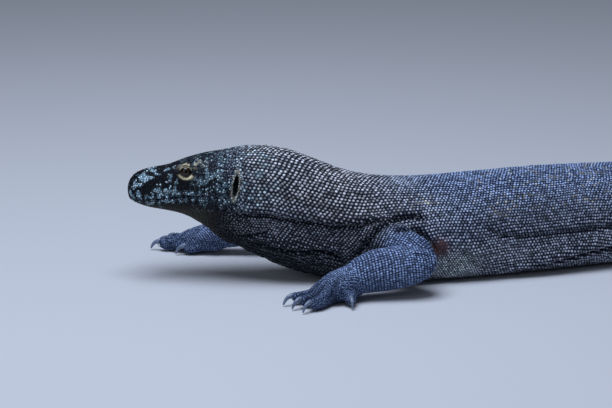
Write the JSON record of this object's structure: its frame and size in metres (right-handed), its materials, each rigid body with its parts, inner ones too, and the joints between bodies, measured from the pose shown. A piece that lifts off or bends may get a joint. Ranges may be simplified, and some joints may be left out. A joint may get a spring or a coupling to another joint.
{
  "type": "komodo dragon",
  "caption": "Life-size still model of an adult Komodo dragon lying on its belly with its head raised and mouth closed, legs spread and tail laid along the floor.",
  "frame": {"origin": "centre of the belly's rest flat, at mid trunk, on the floor", "axes": "-Z is the belly's face on the floor, +X runs along the longest extent from the snout's end to the tail's end, and the animal's left side faces -Y"},
  "size_m": [2.4312, 0.8249, 0.2238],
  "materials": {
    "hide": "dry matt bead scales, dark slate with pale grey tips",
    "claw": "smooth dark horn, satin gloss",
    "eye": "wet, dark brown with a round pupil"
  },
  "bodies": {
    "root": {"arm_upper_left": "hide", "arm_upper_right": "hide", "claw_foot_left_1": "claw", "claw_foot_left_2": "claw", "claw_foot_left_3": "claw", "claw_foot_left_4": "claw", "claw_foot_left_5": "claw", "claw_foot_right_1": "claw", "claw_foot_right_2": "claw", "claw_foot_right_3": "claw", "claw_foot_right_4": "claw", "claw_foot_right_5": "claw", "claw_hand_left_1": "claw", "claw_hand_left_2": "claw", "claw_hand_left_3": "claw", "claw_hand_left_4": "claw", "claw_hand_left_5": "claw", "claw_hand_right_1": "claw", "claw_hand_right_2": "claw", "claw_hand_right_3": "claw", "claw_hand_right_4": "claw", "claw_hand_right_5": "claw", "eye_left": "eye", "eye_right": "eye", "foot_left": "hide", "foot_right": "hide", "forearm_left": "hide", "forearm_right": "hide", "hand_left": "hide", "hand_right": "hide", "head": "hide", "lower_jaw": "hide", "neck": "hide", "shank_left": "hide", "shank_right": "hide", "tail_mid": "hide", "tail_rear": "hide", "tail_root": "hide", "tail_tip": "hide", "thigh_left": "hide", "thigh_right": "hide", "trunk": "hide"}
  },
  "joints": []
}
